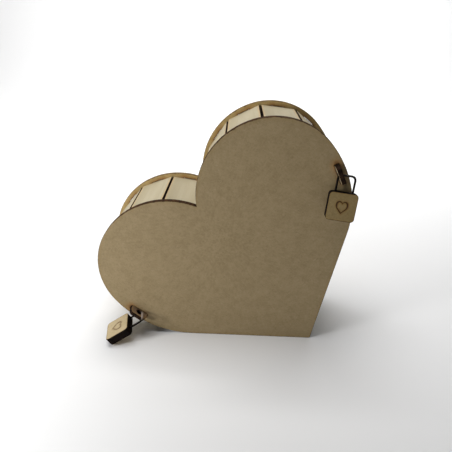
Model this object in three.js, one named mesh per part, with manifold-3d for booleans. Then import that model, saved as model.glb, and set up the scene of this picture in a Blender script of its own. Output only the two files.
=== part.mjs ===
import * as THREE from 'three';
import Module from 'manifold-3d';
import { mergeVertices } from 'three/addons/utils/BufferGeometryUtils.js';

// A heart-shaped box of laser-cut sheet wood, standing on one straight side of the heart.
// A base plate and a loose lid, both cut to the same heart, close a ring of flat wall panels.
// Two panels carry a tab that passes through a slot of the lid, and a small wooden padlock
// with a wire shackle goes through a hole in each tab.
// Millimetres, +Z up, the lid faces -Y. The origin is the middle of the underside.

// Plates
const heartWidth = 200;
const lidThickness = 4.5;
const baseThickness = 3;
const overhang = 2.4;
const tipRadius = 1.5;

// Wall
const wallDepth = 59;
const panelThickness = 3;
const panelWidth = 25.9;
const panelsPerLobe = 7;
const cuspGap = 2;

// Tabs in the base plate
const baseTabWidth = 9;
const baseTabsOnLongSide = 3;

// Tabs that hold the lid
const haspPanel = 6;
const haspTabWidth = 14;
const haspTabReach = 7;
const haspTabEndWidth = 8.6;
const haspHoleRadius = 2;
const haspHoleHeight = 2.6;

// Padlocks
const lockSide = 19.6;
const lockThickness = 6.5;
const lockCornerRadius = 2.5;
const engravedHeartWidth = 7.4;
const engravedHeartHeight = 7.9;
const engravedLineWidth = 0.85;
const engravedDepth = 0.3;
const engravedRise = -0.3;

// Wire shackles
const wireRadius = 0.75;
const shackleWidth = 11.7;
const shackleHeight = 11.3;
const shackleBendRadius = 3.2;
const shackleSocketDepth = 6;

// How the padlocks lie. Each is turned from facing the viewer and rolled in its own plane, in
// degrees. The grip is how far past the top of the shackle's left leg the wire lies in the tab's
// hole, and the rest is the side of the hole it lies on, in degrees from its lower side towards
// the lid. The gap stays free between the hanging one and the lid, and under the leaning one.
const hangingLock = { turn: -4.4, roll: -5.5, grip: 3.4, rest: 0, gap: 0.9 };
const leaningLock = { turn: -75, roll: -6, grip: -0.6, rest: 35, gap: 0.7 };

// Clearances. The bend room is what the bent, slanting wire needs beside it in a tab's hole.
const touchGap = 0.3;
const slotGap = 0.3;
const bendRoom = 1;

// The heart, as shares of its width: a straight side from the tip, then three arcs of falling
// and rising radius up to the cusp. Each arc ends where the outline has turned to its heading.
const sideAngle = THREE.MathUtils.degToRad(39.6);
const sideShare = 0.4694;
const lobeArcs = [
  { radiusShare: 0.3813, heading: THREE.MathUtils.degToRad(92.2) },
  { radiusShare: 0.2476, heading: THREE.MathUtils.degToRad(159.5) },
  { radiusShare: 0.2788, heading: null },
];

// How finely curves are drawn. A curve of an outline gets twice its number of steps.
const arcSteps = 14;
const cornerSteps = 5;
const engravingSteps = 6;
const wireSides = 12;
const wireSteps = 30;
const samePoint = 1e-6;

const wasm = await Module();
wasm.setup();

const materials = {
  plate: new THREE.MeshStandardMaterial({ color: 0x8a7a5c, roughness: 0.85, metalness: 0 }),
  wall: new THREE.MeshStandardMaterial({ color: 0xd2c39c, roughness: 0.75, metalness: 0 }),
  lock: new THREE.MeshStandardMaterial({ color: 0xb39c6c, roughness: 0.75, metalness: 0 }),
  wire: new THREE.MeshStandardMaterial({ color: 0x2a2826, roughness: 0.4, metalness: 0.9 }),
};

// The right half of a heart outline, from the tip to the cusp, drawn inset from a heart of the
// given width. It is the tip, a line and three arcs. The tip has the given radius, and is sharp
// where the inset is more. The last arc ends on the axis, or where it is nearest to it.
function halfHeart(width, inset, radiusAtTip) {
  const path = new THREE.Path();
  const sideLength = sideShare * width;
  const along = new THREE.Vector2(Math.cos(sideAngle), Math.sin(sideAngle));
  const inward = new THREE.Vector2(-Math.sin(sideAngle), Math.cos(sideAngle));
  const tipReach = Math.max(radiusAtTip, inset);
  const tipCentre = new THREE.Vector2(0, tipReach / Math.cos(sideAngle));
  const sideEnd = along.clone().multiplyScalar(sideLength).addScaledVector(inward, inset);
  path.moveTo(0, tipCentre.y - (tipReach - inset));
  for (let step = 1; tipReach > inset && step <= cornerSteps; step += 1) {
    const turned = new THREE.Vector2(0, inset - tipReach)
      .rotateAround(new THREE.Vector2(), (sideAngle * step) / cornerSteps)
      .add(tipCentre);
    path.lineTo(turned.x, turned.y);
  }
  path.lineTo(sideEnd.x, sideEnd.y);
  let heading = sideAngle;
  let corner = along.clone().multiplyScalar(sideLength);
  for (const arc of lobeArcs) {
    const radius = arc.radiusShare * width;
    const centre = corner.clone();
    centre.x -= radius * Math.sin(heading);
    centre.y += radius * Math.cos(heading);
    const drawn = radius - inset;
    const end = arc.heading ?? Math.PI + Math.asin(Math.min(1, centre.x / drawn));
    path.absarc(centre.x, centre.y, drawn, heading - Math.PI / 2, end - Math.PI / 2, false);
    corner = new THREE.Vector2(Math.sin(end), -Math.cos(end)).multiplyScalar(radius).add(centre);
    heading = end;
  }
  return path;
}

// The whole outline as points, counter-clockwise from the tip. Where a line meets an arc their
// end points differ by a rounding error, so only one of them is kept.
function heartPoints(width, steps, radiusAtTip) {
  const isNew = (point, index, all) => index === 0 || point.distanceTo(all[index - 1]) > samePoint;
  const right = halfHeart(width, 0, radiusAtTip).getPoints(steps).filter(isNew);
  const left = right.slice(1, -1).reverse().map((p) => new THREE.Vector2(-p.x, p.y));
  return [...right, ...left];
}

// Halves the range until the rising function crosses zero.
function solve(rising, low, high) {
  for (let step = 0; step < 40; step += 1) {
    const middle = (low + high) / 2;
    if (rising(middle) < 0) low = middle;
    else high = middle;
  }
  return (low + high) / 2;
}

// The inner corners of the wall's right half, from the cusp to the tip. They lie on the heart
// inset by the overhang and the panel's thickness. The outer corner of the first panel keeps
// half the cusp's gap to the axis.
function wallCorners() {
  const path = halfHeart(heartWidth, overhang + panelThickness, tipRadius);
  const length = path.getLength();
  const at = (distance) => path.getPointAt(1 - distance / length);
  const step = panelWidth + touchGap;
  const next = (from) =>
    solve((distance) => at(distance).distanceTo(at(from)) - step, from, from + 1.5 * step);
  const startsClear = (from) => {
    const run = at(next(from)).sub(at(from)).normalize();
    return at(from).x - panelThickness * run.y - cuspGap / 2;
  };
  let distance = solve(startsClear, 0, step);
  const corners = [at(distance)];
  for (let panel = 0; panel < panelsPerLobe; panel += 1) {
    distance = next(distance);
    corners.push(at(distance));
  }
  corners.push(new THREE.Vector2(0, path.getPoint(0).y));
  return corners;
}

const corners = wallCorners();

// Each panel runs counter-clockwise round the heart, so its outside is on its right.
const panels = [];
for (let index = 1; index < corners.length; index += 1) {
  const start = corners[index - 1];
  const end = corners[index];
  const isLong = index === corners.length - 1;
  const common = { index, isLong, isHasp: index === haspPanel };
  panels.push({ ...common, lobe: 'upper', from: end, to: start });
  const flip = (p) => new THREE.Vector2(-p.x, p.y);
  panels.push({ ...common, lobe: 'lower', from: flip(start), to: flip(end) });
}

function panelLength(panel) {
  return panel.from.distanceTo(panel.to) - touchGap;
}

// The middles of the tabs that a panel has in the base plate, along the panel.
function baseTabCentres(panel) {
  const count = panel.isLong ? baseTabsOnLongSide : 1;
  return Array.from({ length: count }, (_, n) => (panelLength(panel) * (n + 0.5)) / count);
}

// A rectangular hole across a panel's thickness, in the plane of the heart.
function slotPath(panel, centre, width) {
  const run = panel.to.clone().sub(panel.from).normalize();
  const out = new THREE.Vector2(run.y, -run.x);
  const half = width / 2 + slotGap;
  const place = (along, outward) =>
    panel.from
      .clone()
      .addScaledVector(run, touchGap / 2 + centre + along)
      .addScaledVector(out, outward);
  return new THREE.Path([
    place(-half, -slotGap),
    place(half, -slotGap),
    place(half, panelThickness + slotGap),
    place(-half, panelThickness + slotGap),
  ]);
}

function plateGeometry(thickness, slots) {
  const shape = new THREE.Shape(heartPoints(heartWidth, arcSteps, tipRadius));
  shape.holes = slots;
  return new THREE.ExtrudeGeometry(shape, { depth: thickness, bevelEnabled: false });
}

function baseGeometry() {
  const slots = panels.flatMap((panel) =>
    baseTabCentres(panel).map((centre) => slotPath(panel, centre, baseTabWidth)),
  );
  return plateGeometry(baseThickness, slots);
}

function lidGeometry() {
  const slots = panels
    .filter((panel) => panel.isHasp)
    .map((panel) => slotPath(panel, panelLength(panel) / 2, haspTabWidth));
  return plateGeometry(lidThickness, slots);
}

// Height of the lid's face above a panel's edge at the base plate.
const lidFace = wallDepth + touchGap + lidThickness;

function addHaspTab(shape, middle) {
  const half = haspTabWidth / 2;
  const endHalf = haspTabEndWidth / 2;
  const top = lidFace + haspTabReach;
  shape.lineTo(middle + half, wallDepth);
  shape.lineTo(middle + half, lidFace);
  shape.quadraticCurveTo(middle + half, top, middle + endHalf, top);
  shape.lineTo(middle - endHalf, top);
  shape.quadraticCurveTo(middle - half, top, middle - half, lidFace);
  shape.lineTo(middle - half, wallDepth);
  const hole = new THREE.Path();
  hole.absarc(middle, lidFace + haspHoleHeight, haspHoleRadius, 0, 2 * Math.PI, true);
  shape.holes.push(hole);
}

// A panel lies in its own XY plane: X along the wall, Y from the base to the lid, Z outwards.
function panelGeometry(panel) {
  const length = panelLength(panel);
  const shape = new THREE.Shape();
  shape.moveTo(0, 0);
  for (const centre of baseTabCentres(panel)) {
    const half = baseTabWidth / 2;
    shape.lineTo(centre - half, 0);
    shape.lineTo(centre - half, -touchGap - baseThickness);
    shape.lineTo(centre + half, -touchGap - baseThickness);
    shape.lineTo(centre + half, 0);
  }
  shape.lineTo(length, 0);
  shape.lineTo(length, wallDepth);
  if (panel.isHasp) addHaspTab(shape, length / 2);
  shape.lineTo(0, wallDepth);
  return new THREE.ExtrudeGeometry(shape, {
    depth: panelThickness,
    bevelEnabled: false,
    curveSegments: cornerSteps,
  });
}

function panelName(panel) {
  if (panel.isLong) return `${panel.lobe}_straight_wall`;
  return `${panel.lobe}_wall_panel_${panel.index}`;
}

function panelMesh(panel) {
  const mesh = new THREE.Mesh(panelGeometry(panel), materials.wall);
  mesh.name = panelName(panel);
  const run = panel.to.clone().sub(panel.from).normalize();
  mesh.rotation.set(Math.PI / 2, 0, run.angle(), 'ZXY');
  mesh.position.set(panel.from.x, panel.from.y, baseThickness + touchGap);
  mesh.position.x += (run.x * touchGap) / 2;
  mesh.position.y += (run.y * touchGap) / 2;
  return mesh;
}

function toManifold(geometry) {
  const bare = geometry.clone();
  bare.deleteAttribute('normal');
  bare.deleteAttribute('uv');
  const merged = mergeVertices(bare);
  const vertProperties = new Float32Array(merged.attributes.position.array);
  const triVerts = new Uint32Array(merged.index.array);
  return new wasm.Manifold(new wasm.Mesh({ numProp: 3, vertProperties, triVerts }));
}

function toGeometry(manifold) {
  const mesh = manifold.getMesh();
  const geometry = new THREE.BufferGeometry();
  geometry.setAttribute('position', new THREE.BufferAttribute(mesh.vertProperties, mesh.numProp));
  geometry.setIndex(new THREE.BufferAttribute(mesh.triVerts, 1));
  geometry.computeVertexNormals();
  return geometry;
}

// The engraved heart, drawn outside its line by the given distance. It is taller than the box's
// and has a sharp tip.
function engravedHeart(outside) {
  const width = engravedHeartWidth + 2 * outside;
  const points = heartPoints(width, engravingSteps, 0);
  const reach = new THREE.Box2().setFromPoints(points);
  const middle = reach.getCenter(new THREE.Vector2());
  const size = reach.getSize(new THREE.Vector2());
  const taller = new THREE.Vector2(1, (engravedHeartHeight + 2 * outside) / size.y);
  return points.map((point) => point.sub(middle).multiply(taller));
}

// The groove of the engraved heart: the ring between two hearts, as deep as the engraving.
function engravingGeometry() {
  const shape = new THREE.Shape(engravedHeart(engravedLineWidth / 2));
  shape.holes = [new THREE.Path(engravedHeart(-engravedLineWidth / 2))];
  const cut = { depth: 2 * engravedDepth, bevelEnabled: false };
  const geometry = new THREE.ExtrudeGeometry(shape, cut);
  geometry.translate(0, engravedRise, lockThickness / 2 - engravedDepth);
  return geometry;
}

function roundedSquare(side, radius) {
  const half = side / 2;
  const inner = half - radius;
  const shape = new THREE.Shape();
  shape.absarc(inner, inner, radius, 0, Math.PI / 2, false);
  shape.absarc(-inner, inner, radius, Math.PI / 2, Math.PI, false);
  shape.absarc(-inner, -inner, radius, Math.PI, 1.5 * Math.PI, false);
  shape.absarc(inner, -inner, radius, 1.5 * Math.PI, 2 * Math.PI, false);
  return shape;
}

// A padlock body stands in its own XY plane, its engraved face towards Z and its shackle up Y.
function lockGeometry() {
  const block = new THREE.ExtrudeGeometry(roundedSquare(lockSide, lockCornerRadius), {
    depth: lockThickness,
    bevelEnabled: false,
    curveSegments: cornerSteps,
  });
  block.translate(0, 0, -lockThickness / 2);
  let solid = toManifold(block).subtract(toManifold(engravingGeometry()));
  const socketDepth = shackleSocketDepth + touchGap;
  for (const side of [-1, 1]) {
    const socket = new THREE.CylinderGeometry(
      wireRadius + touchGap,
      wireRadius + touchGap,
      2 * socketDepth,
      wireSides,
    );
    socket.translate((side * shackleWidth) / 2, lockSide / 2, 0);
    solid = solid.subtract(toManifold(socket));
  }
  return toGeometry(solid);
}

// The centre line of the shackle's wire, from the foot of one leg to the foot of the other.
function shacklePath() {
  const half = shackleWidth / 2;
  const foot = lockSide / 2 - shackleSocketDepth;
  const bendX = half - shackleBendRadius;
  const bendY = lockSide / 2 + shackleHeight - shackleBendRadius;
  const at = (x, y) => new THREE.Vector3(x, y, 0);
  const top = bendY + shackleBendRadius;
  const bend = (start, corner, end) => new THREE.QuadraticBezierCurve3(start, corner, end);
  const path = new THREE.CurvePath();
  path.add(new THREE.LineCurve3(at(-half, foot), at(-half, bendY)));
  path.add(bend(at(-half, bendY), at(-half, top), at(-bendX, top)));
  path.add(new THREE.LineCurve3(at(-bendX, top), at(bendX, top)));
  path.add(bend(at(bendX, top), at(half, top), at(half, bendY)));
  path.add(new THREE.LineCurve3(at(half, bendY), at(half, foot)));
  return path;
}

function shackleGeometry() {
  const section = new THREE.Shape();
  section.absarc(0, 0, wireRadius, 0, 2 * Math.PI, false);
  return new THREE.ExtrudeGeometry(section, {
    steps: wireSteps,
    curveSegments: wireSides / 2,
    extrudePath: shacklePath(),
    bevelEnabled: false,
  });
}

// The point of the wire that is this far past the top of its left leg.
function gripPoint(past) {
  const path = shacklePath();
  const leg = path.curves[0].getLength();
  return path.getPointAt((leg + past) / path.getLength());
}

// The heart's plane stands upright: its axis is turned so that the lower straight side is level.
const box = new THREE.Group();
box.rotation.set(Math.PI / 2, -sideAngle, 0, 'YXZ');
box.updateMatrixWorld();

const faceHeight = baseThickness + touchGap + lidFace;

// Where a padlock's wire lies in the hole of its tab.
function wireInHole(lobe, rest) {
  const panel = panels.find((each) => each.isHasp && each.lobe === lobe);
  const run = panel.to.clone().sub(panel.from).normalize();
  const out = new THREE.Vector2(run.y, -run.x);
  const middle = panel.from.clone().lerp(panel.to, 0.5).addScaledVector(out, panelThickness / 2);
  const play = haspHoleRadius - wireRadius - bendRoom;
  const angle = THREE.MathUtils.degToRad(rest);
  const inHole = (side) => {
    const point = middle.clone().addScaledVector(run, side * play * Math.cos(angle));
    const height = faceHeight + haspHoleHeight - play * Math.sin(angle);
    return new THREE.Vector3(point.x, point.y, height).applyMatrix4(box.matrixWorld);
  };
  const ends = [inHole(-1), inHole(1)];
  return ends[0].z < ends[1].z ? ends[0] : ends[1];
}

// A padlock turned about the point where its wire is held. Its groups turn it about the
// vertical, lean its face up and roll it in its own plane, in that order.
function lockGroup(lobe, pose, lean) {
  const turned = new THREE.Group();
  turned.position.copy(wireInHole(lobe, pose.rest));
  turned.rotation.z = THREE.MathUtils.degToRad(pose.turn);
  const leaned = new THREE.Group();
  leaned.rotation.x = THREE.MathUtils.degToRad(90 - lean);
  const rolled = new THREE.Group();
  rolled.rotation.z = THREE.MathUtils.degToRad(pose.roll);
  const held = new THREE.Group();
  held.position.copy(gripPoint(pose.grip)).negate();
  turned.add(leaned);
  leaned.add(rolled);
  rolled.add(held);
  return { outer: turned, inner: held };
}

// The box around a padlock's body once it is placed.
function lockReach(placed) {
  const body = new THREE.Mesh(lockBody);
  placed.inner.add(body);
  placed.outer.updateMatrixWorld(true);
  const reach = new THREE.Box3().setFromObject(body, true);
  placed.inner.remove(body);
  return reach;
}

const lockBody = lockGeometry();
const shackle = shackleGeometry();

// The upper padlock hangs and leans out until its back is clear of the lid.
function placeHangingLock() {
  const make = (lean) => lockGroup('upper', hangingLock, lean);
  const reachY = -faceHeight - hangingLock.gap;
  return make(solve((lean) => reachY - lockReach(make(lean)).max.y, 0, 40));
}

// The lower padlock leans back until its lowest edge is near the surface under the box.
function placeLeaningLock() {
  const make = (lean) => lockGroup('lower', leaningLock, lean);
  return make(solve((lean) => lockReach(make(lean)).min.z - leaningLock.gap, 10, 80));
}

function addLock(group, placed, name) {
  const body = new THREE.Mesh(lockBody, materials.lock);
  body.name = `${name}_padlock_body`;
  const wire = new THREE.Mesh(shackle, materials.wire);
  wire.name = `${name}_padlock_shackle`;
  placed.inner.add(body, wire);
  group.add(placed.outer);
}

const base = new THREE.Mesh(baseGeometry(), materials.plate);
base.name = 'base_plate';
const lid = new THREE.Mesh(lidGeometry(), materials.plate);
lid.name = 'lid';
lid.position.z = faceHeight - lidThickness;
box.add(base, lid, ...panels.map(panelMesh));

const part = new THREE.Group();
part.add(box);
addLock(part, placeHangingLock(), 'upper');
addLock(part, placeLeaningLock(), 'lower');

// Moves the finished box so that the origin is under its middle.
const whole = new THREE.Box3().setFromObject(part, true);
const middle = whole.getCenter(new THREE.Vector3());
part.position.set(-middle.x, -middle.y, -whole.min.z);

export default part;
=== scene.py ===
"""A heart-shaped box of laser-cut sheet wood with two small wooden padlocks, in metres."""
import math

import bpy
import numpy as np
from mathutils import Matrix, Vector
from mathutils.geometry import delaunay_2d_cdt


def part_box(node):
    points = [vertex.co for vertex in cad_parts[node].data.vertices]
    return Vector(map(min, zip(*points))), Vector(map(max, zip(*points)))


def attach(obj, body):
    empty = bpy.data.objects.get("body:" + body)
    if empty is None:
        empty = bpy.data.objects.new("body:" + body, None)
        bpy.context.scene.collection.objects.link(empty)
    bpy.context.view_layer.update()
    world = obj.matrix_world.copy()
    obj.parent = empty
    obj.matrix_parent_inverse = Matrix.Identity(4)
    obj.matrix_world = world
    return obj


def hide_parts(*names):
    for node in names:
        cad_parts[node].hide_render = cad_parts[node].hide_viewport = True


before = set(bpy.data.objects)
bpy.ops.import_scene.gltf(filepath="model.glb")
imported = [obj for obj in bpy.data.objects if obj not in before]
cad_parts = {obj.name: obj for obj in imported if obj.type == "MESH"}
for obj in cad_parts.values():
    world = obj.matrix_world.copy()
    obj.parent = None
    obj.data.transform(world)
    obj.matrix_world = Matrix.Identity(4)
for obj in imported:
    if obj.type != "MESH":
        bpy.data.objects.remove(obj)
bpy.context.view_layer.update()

MM = 0.001

# Fineness of the meshes
OUTLINE_STEP = 0.8 * MM
PLATE_GRID = 2.4 * MM
PANEL_GRID = 2.0 * MM
LOCK_GRID = 0.7 * MM
LOCK_STEP = 0.5 * MM
GROOVE_STEP = 0.2 * MM
FACE_RINGS = (0.3 * MM, 0.8 * MM, 1.5 * MM, 2.6 * MM, 4.0 * MM)
LOCK_RINGS = (0.2 * MM, 0.45 * MM, 0.9 * MM)
GROOVE_RINGS = (0.12 * MM, 0.26 * MM)
RINGS_BESIDE_GROOVE = (-0.25 * MM, -0.6 * MM)
RING_CLEAR = 0.9
GROOVE_RING_CLEAR = 0.8
GRID_CLEAR = 0.4
SIDE_ROWS = 4
WIRE_SIDES = 20
WIRE_STEP = 0.35 * MM
BEND_STEPS = 14

# Small shapes that the frame doesn't have
PLATE_ROUNDING = 0.16 * MM
PANEL_ROUNDING = 0.06 * MM
LOCK_ROUNDING = 0.25 * MM
GROOVE_DEPTH = 0.3 * MM
WIRE_BEND = 3.2 * MM

# How strong the painted highlight on each wire's crown is, and how much painted shade darkens the
# tabs
CROWN_HIGHLIGHT = {"upper": 0.1, "lower": 1.0}
CROWN_HIGHLIGHT_SPREAD = 1.6
TAB_SHADE = {"upper_wall_panel_6": 0.25, "lower_wall_panel_6": 1.0}
TAB_SHADE_BEHIND = 1.5 * MM

# Tolerances
WELD = 1e-6
SAME_POINT = 1e-9
SAME_PLANE = 2e-5
SAME_WAY = 0.999
SAME_WAY_DIGITS = 3
TINY = 1e-15
FAR = 1.0
SMALLEST_LEAN = 0.35
SHARP_EDGE = math.radians(50)
SHARP_WIRE_EDGE = math.radians(60)
POINTS_AT_ONCE = 2000

# What the frame's solids are like
SLOT_CORNERS = 4
BLOCK_SIDES = 6
ENGRAVED_LOOPS = 3

# The triangulation returns all triangles inside the points' hull
WHOLE_HULL = 0

# Sockets of a node that mixes two colours
FIRST_COLOUR = 6
SECOND_COLOUR = 7
MIXED_COLOUR = 2

# Camera: where it stands in the row frame, and where it looks
CAMERA_PLACE = (8.84 * MM, -326.28 * MM, 232.0 * MM)
CAMERA_PITCH = math.radians(-24.27)
CAMERA_YAW = math.radians(1.07)
CAMERA_ROLL = math.radians(1.63)
CAMERA_FOV = math.radians(51.913)
CAMERA_SENSOR = 36
CAMERA_NEAREST = 0.01

# Studio: the backdrop's sizes in metres, its shade, and how bright the sky is
FLOOR_FRONT = -2.5
FLOOR_SIDE = 3.0
FLOOR_BEND = 0.5
FLOOR_BEND_STEPS = 12
WALL_PLACE = 1.5
WALL_HEIGHT = 1.6
FLOOR_SHADE = 0.82
SKY_STRENGTH = 0.08

BODY = "root"
BOX_OUT = Vector((0, -1, 0))


def paint(red, green, blue):
    """A colour given as it looks on a screen, from 0 to 255, as Blender's linear colour."""
    def linear(value):
        share = value / 255
        return share / 12.92 if share <= 0.04045 else ((share + 0.055) / 1.055) ** 2.4
    return (linear(red), linear(green), linear(blue), 1.0)


class Finish:
    """A material whose nodes are added one by one and end in one shader."""

    def __init__(self, name):
        self.material = bpy.data.materials.new(name)
        self.material.use_nodes = True
        self.tree = self.material.node_tree
        self.shader = self.tree.nodes["Principled BSDF"]

    def node(self, kind, inputs=(), **settings):
        made = self.tree.nodes.new(kind)
        for name, value in settings.items():
            setattr(made, name, value)
        for key, value in dict(inputs).items():
            self.put(made.inputs[key], value)
        return made

    def put(self, socket, value):
        if isinstance(value, bpy.types.NodeSocket):
            self.tree.links.new(value, socket)
        else:
            socket.default_value = value

    def place(self, scale=(1, 1, 1), turn=0.0):
        """The piece's own coordinates, turned about Z and then stretched."""
        where = self.node("ShaderNodeTexCoord").outputs["Object"]
        turned = self.node("ShaderNodeMapping", {"Vector": where, "Rotation": (0, 0, turn)})
        sized = self.node("ShaderNodeMapping", {"Vector": turned.outputs[0], "Scale": scale})
        return sized.outputs[0]

    def measure(self, name):
        """A value kept for each corner of the mesh."""
        return self.node("ShaderNodeAttribute", attribute_name=name).outputs["Fac"]

    def noise(self, where, scale, detail, roughness=0.5):
        inputs = {"Vector": where, "Scale": scale, "Detail": detail, "Roughness": roughness}
        return self.node("ShaderNodeTexNoise", inputs).outputs["Fac"]

    def math(self, operation, first, second=0.0):
        return self.node("ShaderNodeMath", {0: first, 1: second}, operation=operation).outputs[0]

    def span(self, value, low, high, start=0.0, end=1.0):
        """The value's way from low to high as a smooth way from start to end."""
        inputs = {"Value": value, "From Min": low, "From Max": high, "To Min": start, "To Max": end}
        made = self.node("ShaderNodeMapRange", inputs, interpolation_type="SMOOTHSTEP")
        return made.outputs["Result"]

    def mix(self, share, first, second):
        """The first colour, with this share of the second."""
        made = self.node("ShaderNodeMix", data_type="RGBA")
        self.put(made.inputs[0], share)
        self.put(made.inputs[FIRST_COLOUR], first)
        self.put(made.inputs[SECOND_COLOUR], second)
        return made.outputs[MIXED_COLOUR]

    def bump(self, height, distance, strength):
        inputs = {"Height": height, "Distance": distance, "Strength": strength}
        return self.node("ShaderNodeBump", inputs).outputs[0]

    def end(self, colour, roughness, normal=None, gloss=0.5, metallic=0.0):
        self.put(self.shader.inputs["Base Color"], colour)
        self.put(self.shader.inputs["Roughness"], roughness)
        self.put(self.shader.inputs["Specular IOR Level"], gloss)
        self.put(self.shader.inputs["Metallic"], metallic)
        if normal is not None:
            self.put(self.shader.inputs["Normal"], normal)
        return self.material


def mottle(finish, light, dark, fleck, fibre):
    """The colour of a board of pressed fibres: faint clouds, small flecks and short fibres."""
    clouds = finish.noise(finish.place(), scale=150, detail=5, roughness=0.68)
    flecks = finish.noise(finish.place(), scale=620, detail=4, roughness=0.7)
    drawn_out = (1, 0.2, 1)
    one_place = finish.place(drawn_out, turn=0.5)
    other_place = finish.place(drawn_out, turn=2.1)
    one_way = finish.noise(one_place, scale=1700, detail=2, roughness=0.6)
    other_way = finish.noise(other_place, scale=1700, detail=2, roughness=0.6)
    colour = finish.mix(finish.span(clouds, 0.3, 0.7, 0.15, 0.8), light, dark)
    colour = finish.mix(finish.span(flecks, 0.4, 0.7, 0.0, 0.2), colour, fleck)
    colour = finish.mix(finish.span(one_way, 0.54, 0.72, 0.0, 0.2), colour, fleck)
    colour = finish.mix(finish.span(other_way, 0.54, 0.72, 0.0, 0.22), colour, fibre)
    grain = finish.math("ADD", flecks, one_way)
    return colour, grain


def scorch(finish, colour, reach, tints):
    """Darkens a colour towards the sheet's cut edges. The tints go from far to near.

    Each tint names a distance kept in the mesh, its share of the reach, a colour and a strength.
    """
    smoke = finish.noise(finish.place(), scale=330, detail=3, roughness=0.6)
    wander = 1.1 * reach
    uneven = finish.math("MULTIPLY", finish.math("SUBTRACT", smoke, 0.5), wander)
    for name, share, tint, strength in tints:
        away = finish.math("ADD", finish.measure(name), uneven)
        colour = finish.mix(finish.span(away, 0.0, reach * share, strength, 0.0), colour, tint)
    return colour


def board_face(name, light, dark, rim, halo, soot):
    """The flat of a fibre board plate, golden towards its rim and burnt round its slots."""
    finish = Finish(name)
    colour, grain = mottle(finish, light, dark, paint(104, 88, 60), paint(178, 163, 130))
    tints = (
        ("rim", 1.5, rim, 0.32),
        ("slot", 1.7, halo, soot),
        ("slot", 0.5, paint(96, 62, 30), 0.4 + soot / 2),
        ("start", 3.0, halo, 0.65),
        ("start", 1.3, paint(104, 66, 30), 0.75),
        ("start", 0.7, paint(48, 28, 16), 0.9),
        ("rim", 0.24, paint(78, 60, 38), 0.75),
    )
    colour = scorch(finish, colour, reach=2.2 * MM, tints=tints)
    bump = finish.bump(grain, distance=0.03 * MM, strength=0.5)
    return finish.end(colour, roughness=0.6, normal=bump, gloss=0.3)


def cut_side(name, light, dark):
    """A laser-cut edge: burnt, with fine marks straight through the sheet."""
    finish = Finish(name)
    marks = finish.noise(finish.place((1, 1, 0.04)), scale=3200, detail=2)
    bands = finish.noise(finish.place((1, 1, 0.1)), scale=420, detail=2)
    colour = finish.mix(finish.span(bands, 0.3, 0.7), dark, light)
    colour = finish.mix(finish.span(marks, 0.4, 0.7, 0.0, 0.5), colour, dark)
    bump = finish.bump(marks, distance=0.06 * MM, strength=0.8)
    return finish.end(colour, roughness=0.85, normal=bump, gloss=0.06)


def pale_face(name, light, dark, reach):
    """The flat of a thin poplar panel: fine grain, painted shade on its tab, and smoke along its
    cut edges.
    """
    finish = Finish(name)
    along = finish.place((1, 0.05, 1))
    grain = finish.noise(along, scale=1200, detail=4, roughness=0.6)
    bands = finish.noise(along, scale=160, detail=2)
    pores = finish.noise(finish.place((1, 0.03, 1)), scale=5200, detail=1)
    colour = finish.mix(finish.span(bands, 0.25, 0.75), light, dark)
    colour = finish.mix(finish.span(grain, 0.45, 0.8, 0.0, 0.3), colour, paint(170, 154, 116))
    colour = finish.mix(finish.span(pores, 0.6, 0.78, 0.0, 0.2), colour, paint(146, 122, 84))
    # Painted shade: the part of a tab that stands past the lid is patchily darkened, where shade
    # falls on it.
    smoke = finish.noise(finish.place(), scale=240, detail=2)
    tab_shade_patches = finish.span(smoke, 0.3, 0.7, 0.55, 0.85)
    tab_shade = finish.math("MULTIPLY", finish.measure("tab_shade"), tab_shade_patches)
    colour = finish.mix(tab_shade, colour, paint(140, 106, 84))
    tints = (
        ("rim", 1.5, paint(192, 158, 104), 0.45),
        ("rim", 0.22, paint(104, 72, 36), 0.6),
        ("slot", 0.6, paint(60, 38, 24), 0.85),
    )
    colour = scorch(finish, colour, reach, tints)
    bump = finish.bump(finish.math("ADD", grain, pores), distance=0.02 * MM, strength=0.5)
    return finish.end(colour, roughness=0.7, normal=bump, gloss=0.12)


def lock_face(name, shades, line):
    """The padlock's wood, with its engraved line, of this strength, and the smoke round it."""
    finish = Finish(name)
    colour, grain = mottle(finish, *shades)
    tints = (
        ("rim", 1.0, paint(132, 102, 52), 0.6),
        ("rim", 0.35, paint(60, 42, 22), 0.85),
        ("groove", 1.1, paint(128, 98, 48), 0.6 * line),
        ("groove", 0.3, paint(96, 66, 24), 0.8 * line),
    )
    colour = scorch(finish, colour, reach=1.4 * MM, tints=tints)
    burnt = finish.span(finish.measure("burn"), 0.0, 0.3, 0.0, 0.95 * line)
    colour = finish.mix(burnt, colour, paint(66, 42, 12))
    bump = finish.bump(grain, distance=0.03 * MM, strength=0.5)
    return finish.end(colour, roughness=0.6, normal=bump, gloss=0.3)


def wire_finish():
    """Blackened steel wire, with a painted highlight on its crown: a pale, less metallic patch that
    stands in for a glint.
    """
    finish = Finish("dark_steel_wire")
    drawn = finish.noise(finish.place((1, 0.1, 1)), scale=3000, detail=2)
    patches = finish.noise(finish.place(), scale=500, detail=3, roughness=0.6)
    brown = finish.span(patches, 0.45, 0.7, 0.0, 0.6)
    colour = finish.mix(brown, paint(14, 11, 10), paint(30, 25, 22))
    uneven = finish.span(patches, 0.25, 0.6, 1.0, 0.7)
    painted_highlight = finish.math("MULTIPLY", finish.measure("crown_highlight"), uneven)
    # Painted highlight: the crown is painted pale to stand in for the light's glint on the wire.
    colour = finish.mix(painted_highlight, colour, paint(204, 190, 180))
    marks = finish.span(drawn, 0.3, 0.7, 0.26, 0.42)
    rough = finish.math("ADD", marks, finish.math("MULTIPLY", painted_highlight, 0.2))
    bump = finish.bump(drawn, distance=0.01 * MM, strength=0.6)
    metal = finish.math("SUBTRACT", 1.0, finish.math("MULTIPLY", painted_highlight, 0.75))
    return finish.end(colour, roughness=rough, normal=bump, metallic=metal)


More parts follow.
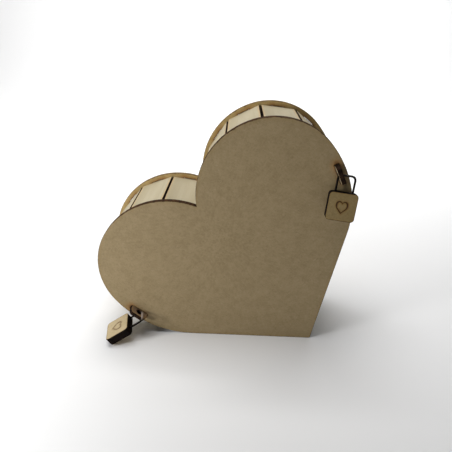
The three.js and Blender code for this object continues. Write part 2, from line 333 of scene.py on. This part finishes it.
def welded(node):
    """A node's corners without doubles, and its triangles."""
    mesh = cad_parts[node].data
    mesh.calc_loop_triangles()
    places = np.array([corner.co for corner in mesh.vertices], float)
    triangles = np.array([each.vertices for each in mesh.loop_triangles])
    rounded = np.round(places / WELD)
    _, first, same = np.unique(rounded, axis=0, return_index=True, return_inverse=True)
    return places[first], same.ravel()[triangles]


def facing(places, triangles):
    """Each triangle's way out and its area."""
    corners = places[triangles]
    across = np.cross(corners[:, 1] - corners[:, 0], corners[:, 2] - corners[:, 0])
    size = np.linalg.norm(across, axis=1)
    return across / np.maximum(size, TINY)[:, None], size / 2


def flat_loops(places, triangles, out):
    """The outlines of the flat that lies furthest along out, the longest first."""
    ways, _ = facing(places, triangles)
    heights = places[triangles].mean(axis=1) @ out
    towards = ways @ out > SAME_WAY
    flat = towards & (heights > heights[towards].max() - SAME_PLANE)
    edges = {(t[k], t[(k + 1) % 3]) for t in triangles[flat].tolist() for k in range(3)}
    after = {a: b for a, b in edges if (b, a) not in edges}
    loops = []
    while after:
        start = next(iter(after))
        loop = [start]
        step = after.pop(start)
        while step != start:
            loop.append(step)
            step = after.pop(step)
        loops.append(places[loop])
    return sorted(loops, key=lambda loop: -loop_length(loop))


def loop_length(loop):
    return np.linalg.norm(loop - np.roll(loop, -1, axis=0), axis=1).sum()


def divided(loop, step):
    """A closed outline with its long stretches cut into equal steps."""
    points = []
    for start, end in zip(loop, np.roll(loop, -1, axis=0)):
        count = max(1, math.ceil(np.linalg.norm(end - start) / step))
        points += [start + (end - start) * k / count for k in range(count)]
    return np.array(points)


def inset(loop, distance):
    """A closed outline moved to its left, which is into the sheet."""
    before = loop - np.roll(loop, 1, axis=0)
    after = np.roll(loop, -1, axis=0) - loop
    left = []
    for way in (before, after):
        way = way / np.linalg.norm(way, axis=1)[:, None]
        left.append(np.c_[-way[:, 1], way[:, 0]])
    middle = left[0] + left[1]
    middle /= np.linalg.norm(middle, axis=1)[:, None]
    lean = np.maximum((middle * left[0]).sum(axis=1), SMALLEST_LEAN)
    return loop + middle * (distance / lean)[:, None]


def away(points, loops):
    """The distance of each point from the nearest of these outlines."""
    nearest = np.full(len(points), FAR)
    for loop in loops:
        way = np.roll(loop, -1, axis=0) - loop
        length = np.maximum((way * way).sum(axis=1), TINY)
        for start in range(0, len(points), POINTS_AT_ONCE):
            these = slice(start, start + POINTS_AT_ONCE)
            part = points[these, None, :]
            share = ((part - loop) * way).sum(axis=2) / length
            foot = loop + np.clip(share, 0, 1)[..., None] * way
            found = np.linalg.norm(part - foot, axis=2).min(axis=1)
            nearest[these] = np.minimum(nearest[these], found)
    return nearest


def inside(points, loops):
    """Whether each point is inside an odd number of these outlines."""
    within = np.zeros(len(points), bool)
    x, y = points[:, 0], points[:, 1]
    for loop in loops:
        for (ax, ay), (bx, by) in zip(loop, np.roll(loop, -1, axis=0)):
            if ay == by:
                continue
            crosses = (ay > y) != (by > y)
            within ^= crosses & (x < ax + (y - ay) * (bx - ax) / (by - ay))
    return within


def face_points(loops, rings, grid):
    """Points over a flat: rows that follow its outlines, and a grid over the rest."""
    points = []
    for ring in rings:
        for loop in loops:
            row = inset(divided(loop, max(OUTLINE_STEP, ring)), ring)
            points.append(row[away(row, loops) > RING_CLEAR * ring])
    low, high = loops[0].min(axis=0), loops[0].max(axis=0)
    columns = np.arange(low[0] + grid / 2, high[0], grid)
    lines = np.arange(low[1] + grid / 2, high[1], grid)
    field = np.array(np.meshgrid(columns, lines)).reshape(2, -1).T
    points.append(field[away(field, loops) > rings[-1] + GRID_CLEAR * grid])
    points = np.concatenate(points)
    return points[inside(points, loops)]


def triangulated(loops, extra):
    """Triangles between these outlines. The outlines' own points come first, in their order."""
    points = np.concatenate([*loops, extra])
    edges = []
    start = 0
    for loop in loops:
        count = len(loop)
        edges += [(start + k, start + (k + 1) % count) for k in range(count)]
        start += count
    made = delaunay_2d_cdt([Vector(p) for p in points], edges, [], WHOLE_HULL, SAME_POINT)
    places = np.array(made[0])
    triangles = np.array(made[2])
    kept = inside(places[triangles].mean(axis=1), loops)
    return places, triangles[kept]


def side_heights(thickness, rounding):
    """The rows of a sheet's side, from its front edge to its back edge."""
    top = thickness / 2 - rounding
    return [top - 2 * top * row / SIDE_ROWS for row in range(SIDE_ROWS + 1)]


def closed_mesh(name, flat, triangles, front, loops, thickness, rounding):
    """A closed sheet: its front at these heights, its flat back, and the rows of its sides."""
    count = len(flat)
    corners = [np.c_[flat, front], np.c_[flat, np.full(count, -thickness / 2)]]
    faces = [tuple(t) for t in triangles]
    faces += [tuple(count + k for k in reversed(t)) for t in triangles.tolist()]
    rim = np.concatenate(loops)
    size = len(rim)
    heights = side_heights(thickness, rounding)
    corners += [np.c_[rim, np.full(size, height)] for height in heights]
    rows = [0, *(2 * count + size * row for row in range(len(heights))), count]
    start = 0
    for loop in loops:
        length = len(loop)
        for upper, lower in zip(rows, rows[1:]):
            for k in range(length):
                here, there = start + k, start + (k + 1) % length
                faces.append((upper + there, upper + here, lower + here, lower + there))
        start += length
    mesh = bpy.data.meshes.new(name)
    mesh.from_pydata(np.concatenate(corners).tolist(), [], faces)
    return mesh


def sheet_mesh(name, loops, thickness, rounding, rings, grid):
    """A closed sheet in its own frame, Z along its thickness, with softly rounded cut edges."""
    loops = [divided(loop, OUTLINE_STEP) for loop in loops]
    shrunk = [inset(loop, rounding) for loop in loops]
    flat, triangles = triangulated(shrunk, face_points(shrunk, rings, grid))
    front = np.full(len(flat), thickness / 2)
    mesh = closed_mesh(name, flat, triangles, front, loops, thickness, rounding)
    mesh.validate()
    return mesh


def keep(mesh, name, values):
    """Stores a value for each corner of the mesh, for its material."""
    mesh.attributes.new(name, "FLOAT", "POINT").data.foreach_set("value", values.astype(np.float32))


def corners_of(mesh):
    places = np.empty(len(mesh.vertices) * 3, np.float32)
    mesh.vertices.foreach_get("co", places)
    return places.reshape(-1, 3).astype(float)


def dress(mesh, face, side, thickness):
    """Gives the flats one material and the cut edges another."""
    mesh.materials.append(face)
    mesh.materials.append(side)
    for polygon in mesh.polygons:
        polygon.material_index = 0 if abs(polygon.center.z) > thickness / 2 - WELD else 1
    mesh.shade_smooth()
    mesh.set_sharp_from_angle(angle=SHARP_EDGE)


def own_frame(right, up, out, centre):
    """The matrix from a piece's own frame to the row frame."""
    turn = Matrix((right, up, out)).transposed().to_4x4()
    return Matrix.Translation(centre) @ turn


def local(matrix, points):
    """Points of the row frame as the first two coordinates in a piece's own frame."""
    inverse = np.array(matrix.inverted())
    return points @ inverse[:3, :3].T[:, :2] + inverse[:2, 3]


def extent(places, way):
    along = places @ np.array(way)
    return along.min(), along.max()


def framed(places, out, up):
    """A piece's own frame at the middle of its box along these ways, and its size there."""
    right = up.cross(out)
    centre = Vector((0, 0, 0))
    size = []
    for way in (right, up, out):
        low, high = extent(places, way)
        centre += way * (low + high) / 2
        size.append(high - low)
    return own_frame(right, up, out, centre), size


def add_piece(mesh, name, matrix, node):
    """Puts the piece in its place, instead of its node."""
    piece = bpy.data.objects.new(name, mesh)
    bpy.context.scene.collection.objects.link(piece)
    piece.matrix_world = matrix
    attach(piece, BODY)
    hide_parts(node)


def from_starts(points, holes):
    """The distance of each point from the upper end of the nearest slot, where its cut began."""
    nearest = np.full(len(points), FAR)
    for loop in holes:
        if len(loop) != SLOT_CORNERS:
            continue
        ends = np.roll(loop, -1, axis=0)
        short = np.argsort(np.linalg.norm(ends - loop, axis=1))[:2]
        start = max((loop[short] + ends[short]) / 2, key=lambda middle: middle[1])
        nearest = np.minimum(nearest, np.linalg.norm(points - start, axis=1))
    return nearest


def past_lid(points, matrix):
    """One for the points of a piece in front of the lid's face, and zero soon behind it."""
    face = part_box("lid")[0][1]
    turn = np.array(matrix)
    past = face - (points @ turn[1, :2] + turn[1, 3])
    return np.clip((past + TAB_SHADE_BEHIND) / TAB_SHADE_BEHIND, 0, 1)


def cut_piece(node, name, out, up, looks, grid, rounding, slot):
    """A flat piece cut from sheet, with the node's own outline, holes and thickness."""
    places, triangles = welded(node)
    matrix, size = framed(places, out, up)
    loops = [local(matrix, loop) for loop in flat_loops(places, triangles, np.array(out))]
    mesh = sheet_mesh(name, loops, size[2], rounding, FACE_RINGS, grid)
    flat = corners_of(mesh)[:, :2]
    keep(mesh, "rim", away(flat, loops[:1]))
    holes = loops[1:]
    keep(mesh, "slot", away(flat, holes))
    keep(mesh, "start", from_starts(flat, holes))
    # Painted shade on the tabs that stand past the lid.
    keep(mesh, "tab_shade", TAB_SHADE.get(node, 0.0) * past_lid(flat, matrix))
    dress(mesh, *looks, size[2])
    add_piece(mesh, name, matrix, node)


def plates():
    """The lid and the base plate."""
    lid_looks = (
        board_face(
            "lid_board",
            light=paint(158, 139, 105),
            dark=paint(141, 123, 89),
            rim=paint(142, 118, 72),
            halo=paint(150, 108, 58),
            soot=0.3,
        ),
        cut_side("lid_cut_edge", paint(76, 52, 30), paint(46, 30, 17)),
    )
    # The base is the lid's fibre board, painted lighter and more golden to stand in for the light
    # that the pale walls throw on its rim.
    base_looks = (
        board_face(
            "base_board_painted_lit",
            light=paint(186, 162, 112),
            dark=paint(168, 144, 94),
            rim=paint(172, 142, 82),
            halo=paint(140, 98, 50),
            soot=0.6,
        ),
        cut_side("base_cut_edge", paint(132, 112, 82), paint(98, 80, 54)),
    )
    up = Vector((0, 0, 1))
    fine = (PLATE_GRID, PLATE_ROUNDING)
    cut_piece("lid", "lid_plate", BOX_OUT, up, lid_looks, *fine, "board")
    cut_piece("base_plate", "back_plate", BOX_OUT, up, base_looks, *fine, "board")


def panel_out(places, triangles, centre):
    """The way out of a wall panel's outer flat."""
    ways, areas = facing(places, triangles)
    level = np.abs(ways @ np.array(BOX_OUT)) < 1 - SAME_WAY
    widest = ways[level][np.argmax(areas[level])]
    outward = places.mean(axis=0) - centre
    return Vector(widest if widest @ outward > 0 else -widest)


def walls():
    """The ring of wall panels between the two plates."""
    looks = (
        pale_face("panel_wood", paint(175, 165, 140), paint(163, 152, 125), reach=1.6 * MM),
        cut_side("panel_cut_edge", paint(48, 33, 23), paint(20, 14, 10)),
    )
    low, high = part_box("lid")
    centre = np.array((low + high) / 2)
    for node in sorted(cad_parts):
        if "wall" not in node:
            continue
        places, triangles = welded(node)
        out = panel_out(places, triangles, centre)
        name = node.replace("wall", "side")
        cut_piece(node, name, out, BOX_OUT, looks, PANEL_GRID, PANEL_ROUNDING, "panel_wood")


def lock_axes(body, wire):
    """The ways out of a padlock's engraved face and up to its shackle."""
    places, triangles = body
    ways, areas = facing(places, triangles)
    _, kind = np.unique(np.round(ways, SAME_WAY_DIGITS), axis=0, return_inverse=True)
    kind = kind.ravel()
    largest = np.argsort(-np.bincount(kind, areas))[:BLOCK_SIDES]
    flats = [ways[kind == index].mean(axis=0) for index in largest]
    fronts = [way for way in flats if len(flat_loops(places, triangles, way)) == ENGRAVED_LOOPS]
    out = Vector(fronts[0]).normalized()
    towards = Vector(wire[0].mean(axis=0) - places.mean(axis=0))
    sides = [Vector(way) for way in flats if abs(Vector(way) @ out) < 1 - SAME_WAY]
    up = max(sides, key=lambda way: way @ towards).normalized()
    up = (up - out * (up @ out)).normalized()
    return out, up


def groove_depth(points, ring):
    """How deep the engraving is at each point, as a share of its full depth."""
    within = inside(points, ring)
    wall = away(points, ring)
    share = np.clip(wall / GROOVE_RINGS[-1], 0, 1)
    return np.where(within, share * share * (3 - 2 * share), 0.0)


def wire_path(half, foot, top):
    """The middle of a shackle's wire in the padlock's frame, from foot to foot."""
    def line(start, end):
        count = max(2, round(math.dist(start, end) / WIRE_STEP))
        return [tuple(a + (b - a) * k / count for a, b in zip(start, end)) for k in range(count)]

    def bend(start, corner, end):
        points = []
        for k in range(BEND_STEPS):
            t = k / BEND_STEPS
            shares = ((1 - t) ** 2, 2 * t * (1 - t), t * t)
            points.append(tuple(
                sum(s * p[axis] for s, p in zip(shares, (start, corner, end))) for axis in (0, 1)
            ))
        return points

    left, right = (-half, foot), (half, foot)
    low, inner = top - WIRE_BEND, half - WIRE_BEND
    path = line(left, (-half, low)) + bend((-half, low), (-half, top), (-inner, top))
    path += line((-inner, top), (inner, top)) + bend((inner, top), (half, top), (half, low))
    return np.array(path + line((half, low), right) + [right])


def wire_mesh(name, path, radius):
    """A round wire along a path in the XY plane."""
    ways = np.gradient(path, axis=0)
    ways /= np.linalg.norm(ways, axis=1)[:, None]
    left = np.c_[-ways[:, 1], ways[:, 0]]
    corners = []
    for (x, y), (nx, ny) in zip(path, left):
        for side in range(WIRE_SIDES):
            angle = 2 * math.pi * side / WIRE_SIDES
            over = radius * math.cos(angle)
            corners.append((x + nx * over, y + ny * over, radius * math.sin(angle)))
    faces = []
    for ring in range(len(path) - 1):
        for side in range(WIRE_SIDES):
            a = ring * WIRE_SIDES + side
            b = ring * WIRE_SIDES + (side + 1) % WIRE_SIDES
            faces.append((a, a + WIRE_SIDES, b + WIRE_SIDES, b))
    last = (len(path) - 1) * WIRE_SIDES
    faces.append(tuple(range(WIRE_SIDES)))
    faces.append(tuple(last + k for k in reversed(range(WIRE_SIDES))))
    mesh = bpy.data.meshes.new(name)
    mesh.from_pydata(corners, [], faces)
    mesh.shade_smooth()
    mesh.set_sharp_from_angle(angle=SHARP_WIRE_EDGE)
    return mesh


def crown_highlight_share(places, half, top, most):
    """How strong the painted highlight is at each point of the wire: most in the middle of its
    crown.
    """
    along = np.clip(CROWN_HIGHLIGHT_SPREAD * (1 - np.abs(places[:, 0]) / half), 0, 1)
    up = np.clip(1 - (top - places[:, 1]) / WIRE_BEND, 0, 1)
    return most * along * up


def padlock(lobe, looks, wire_look):
    """One padlock: its engraved wooden body and its wire shackle."""
    body_node, wire_node = f"{lobe}_padlock_body", f"{lobe}_padlock_shackle"
    body, wire = welded(body_node), welded(wire_node)
    out, up = lock_axes(body, wire)
    matrix, size = framed(body[0], out, up)
    loops = [local(matrix, loop) for loop in flat_loops(*body, np.array(out))]
    outline, ring = loops[0], loops[1:]
    name = f"{lobe}_lock_block"
    ring = [divided(loop, GROOVE_STEP) for loop in ring]
    mesh = lock_mesh(name, outline, ring, size[2])
    dress_lock(mesh, outline, ring, looks)
    add_piece(mesh, name, matrix, body_node)
    right = up.cross(out)
    middle = matrix.translation
    reach = [extent(wire[0], way) for way in (right, up, out)]
    radius = (reach[2][1] - reach[2][0]) / 2
    half = (reach[0][1] - reach[0][0]) / 2 - radius
    foot = reach[1][0] - middle @ up
    top = reach[1][1] - middle @ up - radius
    shackle = wire_mesh(f"{lobe}_lock_wire", wire_path(half, foot, top), radius)
    # The crown's painted highlight, strongest on the lower wire.
    keep(shackle, "crown_highlight", crown_highlight_share(corners_of(shackle), half, top, CROWN_HIGHLIGHT[lobe]))
    shackle.materials.append(wire_look)
    add_piece(shackle, f"{lobe}_lock_wire", matrix, wire_node)


def lock_mesh(name, outline, ring, thickness):
    """A rounded square block with the engraved line sunk into its front."""
    outline = divided(outline, LOCK_STEP)
    shrunk = inset(outline, LOCK_ROUNDING)
    extra = [face_points([shrunk], LOCK_RINGS, LOCK_GRID)]
    for loop in ring:
        extra.append(loop)
        for distance in (*GROOVE_RINGS, *RINGS_BESIDE_GROOVE):
            row = inset(loop, -distance)
            extra.append(row[away(row, ring) > GROOVE_RING_CLEAR * abs(distance)])
    flat, triangles = triangulated([shrunk], np.concatenate(extra))
    front = thickness / 2 - GROOVE_DEPTH * groove_depth(flat, ring)
    return closed_mesh(name, flat, triangles, front, [outline], thickness, LOCK_ROUNDING)


def dress_lock(mesh, outline, ring, looks):
    """Gives the padlock's faces one material and its sides another."""
    places = corners_of(mesh)
    flat = places[:, :2]
    keep(mesh, "rim", away(flat, [outline]))
    front = places[:, 2] > 0
    keep(mesh, "groove", np.where(front, away(flat, ring), 1.0))
    keep(mesh, "burn", np.where(front, groove_depth(flat, ring), 0.0))
    for look in looks:
        mesh.materials.append(look)
    rim = away(flat, [outline]) < LOCK_ROUNDING / 2
    for polygon in mesh.polygons:
        polygon.material_index = 1 if any(rim[k] for k in polygon.vertices) else 0
    mesh.shade_smooth()
    mesh.set_sharp_from_angle(angle=SHARP_EDGE)


def padlocks():
    """Both padlocks. The lower one's wood is a paler copy of the upper one's, painted light that
    stands in for the light on its upturned face, and its engraved line is fainter.
    """
    # The padlocks' sides are burnt, and painted darker still: near black stands in for the shade on
    # their downturned sides.
    side = cut_side("padlock_burnt_and_shaded_edge", paint(28, 19, 14), paint(13, 9, 7))
    darker = (paint(140, 121, 82), paint(127, 108, 70), paint(98, 79, 47), paint(160, 142, 100))
    # Painted light: the lower padlock's copy of the wood is paler only because its face turns up to
    # the light.
    painted_lighter = (paint(190, 172, 138), paint(176, 158, 122), paint(150, 130, 92), paint(204, 190, 156))
    upper = lock_face("upper_padlock_wood", darker, line=1.0)
    lower = lock_face("lower_padlock_painted_lit_wood", painted_lighter, line=0.5)
    wire_look = wire_finish()
    padlock("upper", (upper, side), wire_look)
    padlock("lower", (lower, side), wire_look)


def camera():
    """The camera at the photograph's place and angle."""
    data = bpy.data.cameras.new("camera")
    data.sensor_width = CAMERA_SENSOR
    data.lens = data.sensor_width / 2 / math.tan(CAMERA_FOV / 2)
    data.clip_start = CAMERA_NEAREST
    made = bpy.data.objects.new("camera", data)
    bpy.context.scene.collection.objects.link(made)
    level = Matrix.Rotation(math.pi / 2 + CAMERA_PITCH, 4, "X")
    turned = Matrix.Rotation(CAMERA_YAW, 4, "Z") @ level @ Matrix.Rotation(CAMERA_ROLL, 4, "Z")
    made.matrix_world = Matrix.Translation(CAMERA_PLACE) @ turned
    bpy.context.scene.camera = made


def softbox(name, place, target, size, power):
    """A round soft light that looks at its target."""
    data = bpy.data.lights.new(name, "AREA")
    data.shape = "DISK"
    data.size = size
    data.energy = power
    made = bpy.data.objects.new(name, data)
    bpy.context.scene.collection.objects.link(made)
    way = Vector(place) - Vector(target)
    made.matrix_world = Matrix.Translation(place) @ way.to_track_quat("Z", "Y").to_matrix().to_4x4()


def backdrop():
    """A pale floor that curves up into a wall far behind the box."""
    bend_start = WALL_PLACE - FLOOR_BEND
    rows = [(FLOOR_FRONT, 0.0), (bend_start, 0.0)]
    for step in range(1, FLOOR_BEND_STEPS + 1):
        angle = math.pi / 2 * step / FLOOR_BEND_STEPS
        back = FLOOR_BEND * math.sin(angle)
        rise = FLOOR_BEND * (1 - math.cos(angle))
        rows.append((bend_start + back, rise))
    rows.append((WALL_PLACE, WALL_HEIGHT))
    mesh = bpy.data.meshes.new("floor")
    corners = [(x, y, z) for y, z in rows for x in (-FLOOR_SIDE, FLOOR_SIDE)]
    faces = [(2 * k, 2 * k + 1, 2 * k + 3, 2 * k + 2) for k in range(len(rows) - 1)]
    mesh.from_pydata(corners, [], faces)
    mesh.shade_smooth()
    floor = bpy.data.objects.new("floor", mesh)
    bpy.context.scene.collection.objects.link(floor)
    pale = (FLOOR_SHADE, FLOOR_SHADE, FLOOR_SHADE, 1)
    mesh.materials.append(Finish("floor").end(pale, roughness=0.9, gloss=0.1))


def studio():
    """A plain pale backdrop under soft light from above and from the left."""
    world = bpy.data.worlds.new("studio")
    bpy.context.scene.world = world
    world.use_nodes = True
    sky = world.node_tree.nodes["Background"]
    sky.inputs["Color"].default_value = (1, 1, 1, 1)
    sky.inputs["Strength"].default_value = SKY_STRENGTH
    backdrop()
    softbox("top", place=(-0.12, 0.05, 0.8), target=(0, 0, 0), size=0.55, power=3.7)
    softbox("key", place=(-0.37, -0.25, 0.17), target=(0, -0.03, 0.09), size=0.12, power=1.3)
    softbox("wall", place=(0, 0.5, 1.25), target=(0, 1.5, 0.7), size=1.2, power=30)
    bpy.context.scene.view_settings.view_transform = "Standard"


plates()
walls()
padlocks()
camera()
studio()
